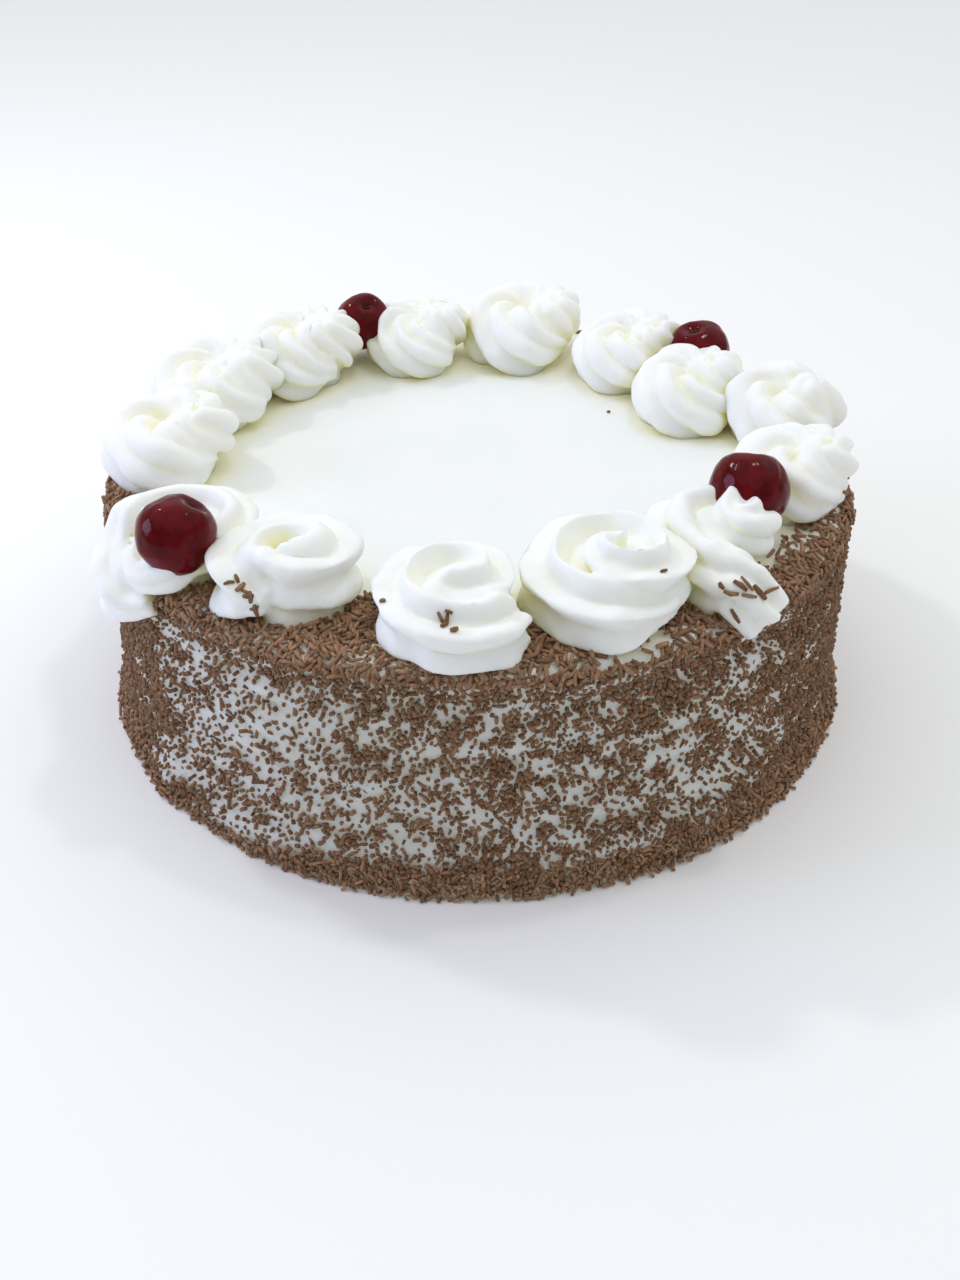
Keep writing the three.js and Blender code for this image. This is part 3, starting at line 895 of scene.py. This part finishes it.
def lie(rng, kind, normal):
    """Directions of rods that lie on a surface at random, with a share of them poking in end-on."""
    count = len(normal)
    sideways = unit(np.cross(normal, rng.normal(size=(count, 3))))
    tilt = np.radians(np.abs(rng.normal(0, kind["tilt"], count)))
    poking = rng.uniform(size=count) < kind["poke"]
    tilt[poking] = np.radians(rng.uniform(*POKING, poking.sum()))
    return sideways * np.cos(tilt)[:, None] + normal * np.sin(tilt)[:, None]


def sprinkle_piece(name, rng, tones, middle, *rod_values):
    """A joined mesh of rods, with a tone between two for each rod."""
    count = len(middle)
    points, faces = rods(rng, middle, *rod_values)
    piece = add_piece(name, points, faces, chocolate)
    store(piece.data, "tone", np.repeat(rng.uniform(*tones, count), len(points) // count))
    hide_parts("cake_body")
    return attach(piece, "root")


def strew(name, rng, kind, point, normal, lift):
    """Rods of one kind at points of a surface, lifted off it by some millimetres."""
    count = len(point)
    along = lie(rng, kind, normal)
    length = rng.triangular(*kind["lengths"], count)
    thickness = rng.uniform(*kind["widths"], count)
    middle = point + normal * lift[:, None]
    sprinkle_piece(name, rng, kind["tones"], middle, along, normal, length, thickness, kind["bent"])


def outside_rosettes(points, tree, clearance):
    """Which points are clear of the rosettes."""
    clear = []
    for point in points:
        spot = Vector(point * MM)
        above = tree.ray_cast(spot, Vector((0, 0, 1)))[1]
        inside = above is not None and above.z > 0
        distance = tree.find_nearest(spot)[3]
        clear.append(not inside and distance > clearance * MM)
    return np.array(clear)


def rosette_tree(pieces):
    """One search tree of all the rosettes' faces."""
    points, faces = [], []
    for piece in pieces:
        base = len(points)
        points += [vertex.co.copy() for vertex in piece.data.vertices]
        faces += [[base + i for i in polygon.vertices] for polygon in piece.data.polygons]
    return BVHTree.FromPolygons(points, faces)


def loose_sprinkles(rng, tree):
    """The few sprinkles that fell on the rosettes and on the top."""
    point, normal, along = [], [], []
    for x, y, azimuth, _ in LOOSE:
        place, up, _, _ = tree.ray_cast(Vector((x, y, 2 * CAKE["height"])) * MM, Vector((0, 0, -1)))
        if place is None:
            spot, up = np.array((x, y, CAKE["height"])), np.array((0, 0, 1))
        else:
            spot, up = np.array(place) / MM, np.array(up)
        level = direction(azimuth)
        point.append(spot)
        normal.append(up)
        along.append(unit(level - up * (level @ up)))
    point, normal, along = np.array(point), np.array(normal), np.array(along)
    length = np.array([row[3] for row in LOOSE])
    thickness = rng.uniform(*RIM["widths"], len(LOOSE))
    middle = point + normal * (ROD["free"] * thickness)[:, None]
    sprinkle_piece("sprinkles_loose", rng, SIDE["tones"], middle, along, normal, length, thickness, True)


def side_sprinkles(rng):
    azimuth, length = scattered(rng, SIDE)
    point, normal = coat_at(azimuth, length)
    lift = rng.uniform(*SIDE["lift"], len(point))
    low = length < SIDE_SPLIT
    for name, kept in (("sprinkles_lower_side", low), ("sprinkles_upper_side", ~low)):
        strew(name, rng, SIDE, point[kept], normal[kept], lift[kept])


def rim_sprinkles(rng, tree):
    azimuth, length = scattered(rng, RIM)
    across = bump(degrees_apart(azimuth, RIM_BARE["azimuth"]), RIM_BARE["half_azimuth"])
    bare = RIM_BARE["gone"] * across * bump(length - RIM_BARE["length"], RIM_BARE["half_length"])
    end = np.interp(azimuth, *np.array(RIM_END).T)
    inner = smoothstep(length, end - RIM_FADING, end)
    kept = rng.uniform(size=len(azimuth)) > np.maximum(bare, inner)
    point, normal = coat_at(azimuth[kept], length[kept])
    lift = rng.uniform(*RIM["lift"], len(point))
    clear = outside_rosettes(point + normal * RIM_CLEARANCE["height"], tree, RIM_CLEARANCE["least"])
    strew("sprinkles_rim", rng, RIM, point[clear], normal[clear], lift[clear])


def foot_sprinkles(rng):
    azimuth, length = scattered(rng, FOOT)
    top = np.interp(azimuth, *np.array(FOOT_HEIGHT).T) * rng.uniform(*FOOT_EDGE, len(azimuth))
    kept = length < top
    point, normal = coat_at(azimuth[kept], length[kept])
    lift = rng.uniform(*FOOT["lift"], len(point)) * (1 - length[kept] / FOOT_THIN)
    strew("sprinkles_foot", rng, FOOT, point, normal, lift)


# ---------------------------------------------------------------- the scene

# The rosettes at the front, between these azimuths, take a shaded copy of the cream, and those at the back a
# lit copy that glows more: painted light.
FRONT = (200, 330)
cream_shaded_front = cream_material(
    "whipped_cream_shaded_front",
    pale=(0.91, 0.938, 0.91),
    crease_shade=(0.97, 0.97, 0.84),
    deep=(0.95, 0.9, 0.52),
    softness=0.35,
)
cream_lit_back = cream_material(
    "whipped_cream_lit_back",
    pale=(0.925, 0.943, 0.89),
    crease_shade=(0.99, 0.985, 0.82),
    deep=(0.99, 0.92, 0.5),
    softness=0.8,
)
coat = coat_material()
chocolate = chocolate_material()
cherry_skin = cherry_material()

coat_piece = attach(cream_coat(coat), "root")
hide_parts("cake_body")

rosettes = []
for index in range(len(ROSETTES)):
    # Painted light: the front rosettes take the shaded copy of the cream, the others the lit one.
    at_front = FRONT[0] < ROSETTES[index]["azimuth"] < FRONT[1]
    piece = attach(rosette_piece(index, cream_shaded_front if at_front else cream_lit_back), "root")
    rosettes.append(piece)

for index in range(len(CHERRIES)):
    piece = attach(cherry_piece(index, cherry_skin), "root")

rosettes_tree = rosette_tree(rosettes)
draws = np.random.default_rng(11)
side_sprinkles(draws)
rim_sprinkles(draws, rosettes_tree)
loose_sprinkles(draws, rosettes_tree)
foot_sprinkles(draws)

# ---------------------------------------------------------------- floor, lights and camera

floor_width = 6  # metres
floor = add_piece(
    "floor",
    np.array([(-1, -1, 0), (1, -1, 0), (1, 1, 0), (-1, 1, 0)]) * floor_width / 2 / MM,
    [(0, 1, 2, 3)],
    floor_material(),
)


def add_light(name, kind, power, place, target=(0, 0, 0.05), colour=(1, 1, 1), **values):
    """A light at a place in metres, aimed at the cake. A sun's power is its strength, another's in watts."""
    data = bpy.data.lights.new(name, kind)
    data.energy = power
    data.color = colour
    for key, value in values.items():
        setattr(data, key, value)
    light = bpy.data.objects.new(name, data)
    light.location = place
    aim = Vector(target) - Vector(place)
    light.rotation_euler = aim.to_track_quat("-Z", "Y").to_euler()
    bpy.context.scene.collection.objects.link(light)


add_light("overhead", "SUN", 1.08, (0.12, 0.1, 1.2), angle=math.radians(115))
add_light("front_fill", "SUN", 0.05, (0.1, -1, 0.7), angle=math.radians(70))
add_light("left_window", "AREA", 3.2, (-0.95, -0.1, 0.4), colour=(0.56, 0.62, 1), size=0.4)
add_light("left_glint", "AREA", 1.1, (-0.5, 0.3, 0.7), size=0.06)
add_light("top_glint", "AREA", 0.6, (0.2, 0.08, 0.9), size=0.06)

# The room is a little darker at the front than at the back, and brighter to the right.
ROOM = {"colour": (0.95, 0.98, 1, 1), "brighter_to": (0.3, 0.9, 0), "dark": 0.3, "bright": 0.62}
world = bpy.data.worlds.new("studio")
world.use_nodes = True
tree = world.node_tree
sky = tree.nodes["Background"]
sky.inputs["Color"].default_value = ROOM["colour"]
heading = tree.nodes.new("ShaderNodeTexCoord").outputs["Generated"]
towards = tree.nodes.new("ShaderNodeVectorMath")
towards.operation = "DOT_PRODUCT"
towards.inputs[1].default_value = ROOM["brighter_to"]
power = tree.nodes.new("ShaderNodeMapRange")
limits = {"From Min": -1, "From Max": 1, "To Min": ROOM["dark"], "To Max": ROOM["bright"]}
for socket, value in limits.items():
    power.inputs[socket].default_value = value
tree.links.new(heading, towards.inputs[0])
tree.links.new(towards.outputs["Value"], power.inputs["Value"])
tree.links.new(power.outputs["Result"], sky.inputs["Strength"])
bpy.context.scene.world = world
bpy.context.scene.view_settings.view_transform = "Standard"

CAMERA = {"place": (0.0007, -0.3545, 0.2525), "pitch": 35, "lens": 39.375, "sensor": 36}
camera_data = bpy.data.cameras.new("camera")
camera_data.lens = CAMERA["lens"]
camera_data.sensor_width = CAMERA["sensor"]
camera_data.clip_end = 20
camera = bpy.data.objects.new("camera", camera_data)
camera.location = CAMERA["place"]
pitch = math.radians(CAMERA["pitch"])
camera.rotation_euler = Vector((0, math.cos(pitch), -math.sin(pitch))).to_track_quat("-Z", "Y").to_euler()
bpy.context.scene.collection.objects.link(camera)
bpy.context.scene.camera = camera
